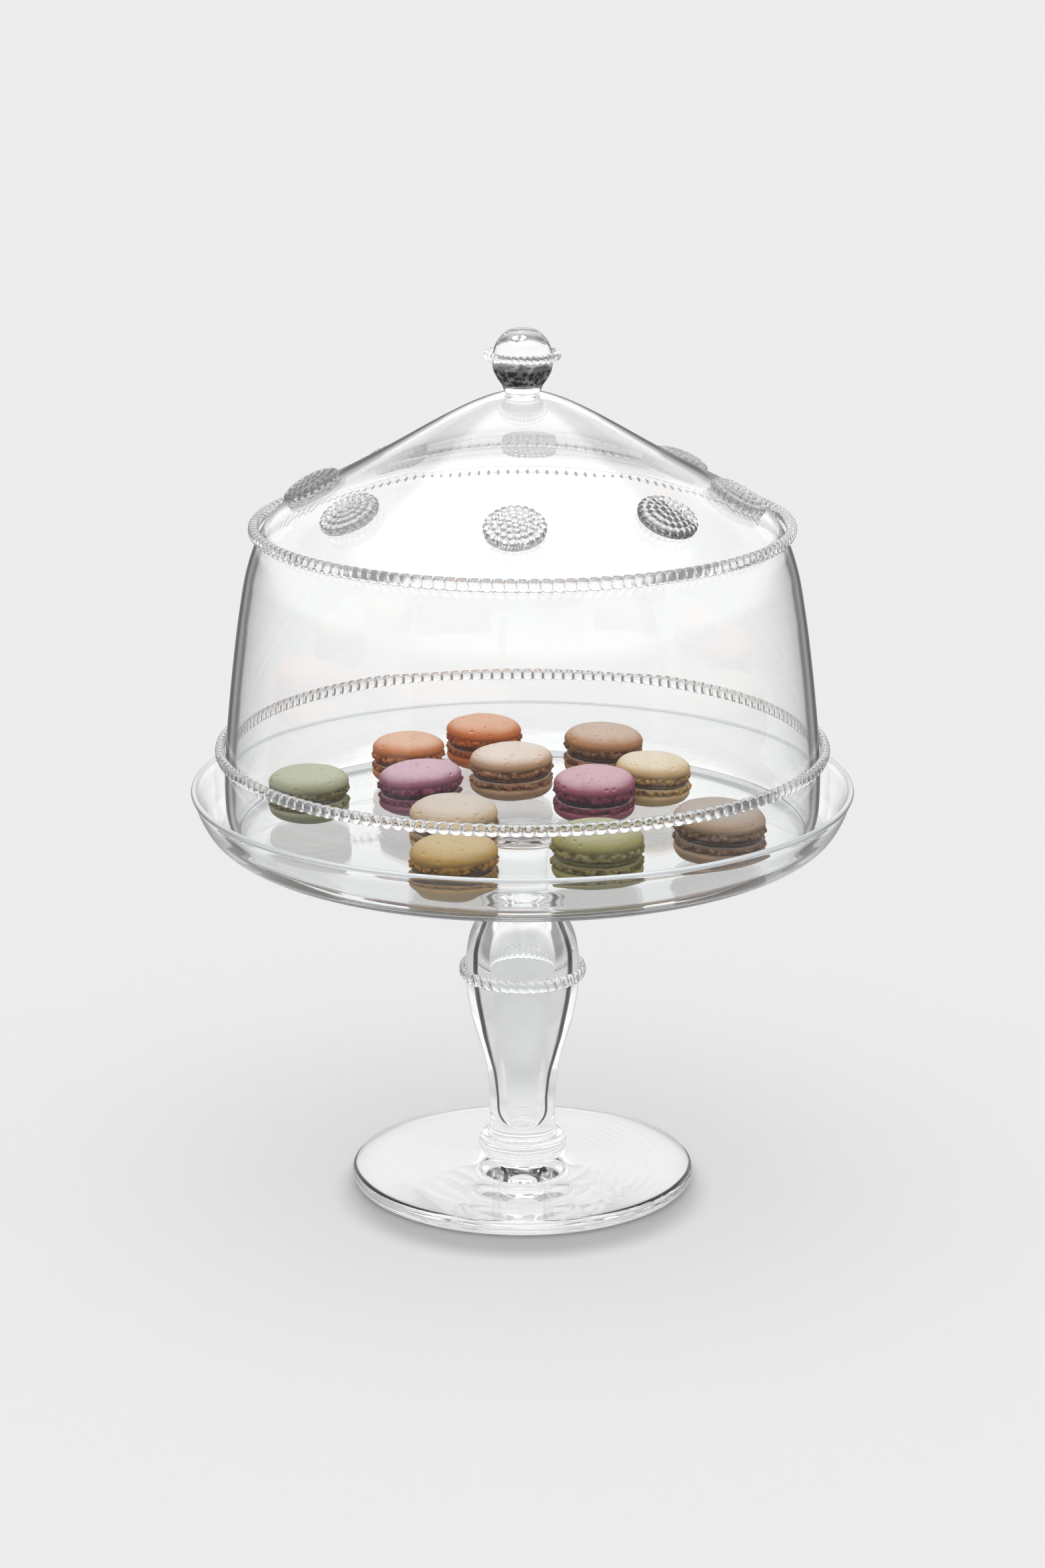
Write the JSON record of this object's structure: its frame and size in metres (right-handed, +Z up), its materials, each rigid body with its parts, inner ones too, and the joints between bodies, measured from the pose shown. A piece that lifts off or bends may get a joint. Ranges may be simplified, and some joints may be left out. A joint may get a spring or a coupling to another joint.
{
  "type": "domed glass cake stand with macarons",
  "caption": "Macarons of several colours on a footed clear glass plate, under a lift-off glass dome with a ball knob, rope-like trails and raspberry buttons.",
  "frame": {"origin": "centre of the foot's flat underside, on the table", "axes": "+Z up along the turning axis of the stand and the dome; -Y towards the front macarons; +X to the right seen from the front"},
  "size_m": [0.3302, 0.3302, 0.4368],
  "materials": {
    "stand_glass": "clear, mouth-blown, polished by the fire",
    "dome_glass": "clear, mouth-blown, slightly uneven",
    "pistachio_left_shell": "dry baked almond shell, matte, finely pored",
    "pistachio_left_cream": "soft ganache or cream, faintly moist",
    "apricot_shell": "dry baked almond shell, matte, finely pored",
    "apricot_cream": "soft ganache or cream, faintly moist",
    "orange_shell": "dry baked almond shell, matte, finely pored",
    "orange_cream": "soft ganache or cream, faintly moist",
    "almond_shell": "dry baked almond shell, matte, finely pored",
    "almond_cream": "soft ganache or cream, faintly moist",
    "coffee_shell": "dry baked almond shell, matte, finely pored",
    "coffee_cream": "soft ganache or cream, faintly moist",
    "lemon_shell": "dry baked almond shell, matte, finely pored",
    "lemon_cream": "soft ganache or cream, faintly moist",
    "raspberry_left_shell": "dry baked almond shell, matte, finely pored",
    "raspberry_left_cream": "soft ganache or cream, faintly moist",
    "raspberry_right_shell": "dry baked almond shell, matte, finely pored",
    "raspberry_right_cream": "soft ganache or cream, faintly moist",
    "vanilla_shell": "dry baked almond shell, matte, finely pored",
    "vanilla_cream": "soft ganache or cream, faintly moist",
    "mango_shell": "dry baked almond shell, matte, finely pored",
    "mango_cream": "soft ganache or cream, faintly moist",
    "pistachio_front_shell": "dry baked almond shell, matte, finely pored",
    "pistachio_front_cream": "soft ganache or cream, faintly moist",
    "chocolate_shell": "dry baked almond shell, matte, finely pored",
    "chocolate_cream": "soft ganache or cream, faintly moist"
  },
  "bodies": {
    "stand": {"foot": "stand_glass", "foot_collar": "stand_glass", "stem": "stand_glass", "stem_ring": "stand_glass", "stem_neck": "stand_glass", "plate": "stand_glass", "macaron_pistachio_left_base": "pistachio_left_shell", "macaron_pistachio_left_filling": "pistachio_left_cream", "macaron_pistachio_left_cap": "pistachio_left_shell", "macaron_apricot_base": "apricot_shell", "macaron_apricot_filling": "apricot_cream", "macaron_apricot_cap": "apricot_shell", "macaron_orange_base": "orange_shell", "macaron_orange_filling": "orange_cream", "macaron_orange_cap": "orange_shell", "macaron_almond_base": "almond_shell", "macaron_almond_filling": "almond_cream", "macaron_almond_cap": "almond_shell", "macaron_coffee_base": "coffee_shell", "macaron_coffee_filling": "coffee_cream", "macaron_coffee_cap": "coffee_shell", "macaron_lemon_base": "lemon_shell", "macaron_lemon_filling": "lemon_cream", "macaron_lemon_cap": "lemon_shell", "macaron_raspberry_left_base": "raspberry_left_shell", "macaron_raspberry_left_filling": "raspberry_left_cream", "macaron_raspberry_left_cap": "raspberry_left_shell", "macaron_raspberry_right_base": "raspberry_right_shell", "macaron_raspberry_right_filling": "raspberry_right_cream", "macaron_raspberry_right_cap": "raspberry_right_shell", "macaron_vanilla_base": "vanilla_shell", "macaron_vanilla_filling": "vanilla_cream", "macaron_vanilla_cap": "vanilla_shell", "macaron_mango_base": "mango_shell", "macaron_mango_filling": "mango_cream", "macaron_mango_cap": "mango_shell", "macaron_pistachio_front_base": "pistachio_front_shell", "macaron_pistachio_front_filling": "pistachio_front_cream", "macaron_pistachio_front_cap": "pistachio_front_shell", "macaron_chocolate_base": "chocolate_shell", "macaron_chocolate_filling": "chocolate_cream", "macaron_chocolate_cap": "chocolate_shell"},
    "dome": {"dome": "dome_glass", "dome_lower_ring": "dome_glass", "dome_shoulder_ring": "dome_glass", "dome_prunt_1": "dome_glass", "dome_prunt_2": "dome_glass", "dome_prunt_3": "dome_glass", "dome_prunt_4": "dome_glass", "dome_prunt_5": "dome_glass", "dome_prunt_6": "dome_glass", "dome_prunt_7": "dome_glass", "dome_prunt_8": "dome_glass", "knob": "dome_glass", "knob_ring": "dome_glass"}
  },
  "joints": [
    {"name": "dome_lift", "type": "slide", "parent": "stand", "child": "dome", "axis": [0, 0, 1], "range_m": [0, 0.3]}
  ]
}
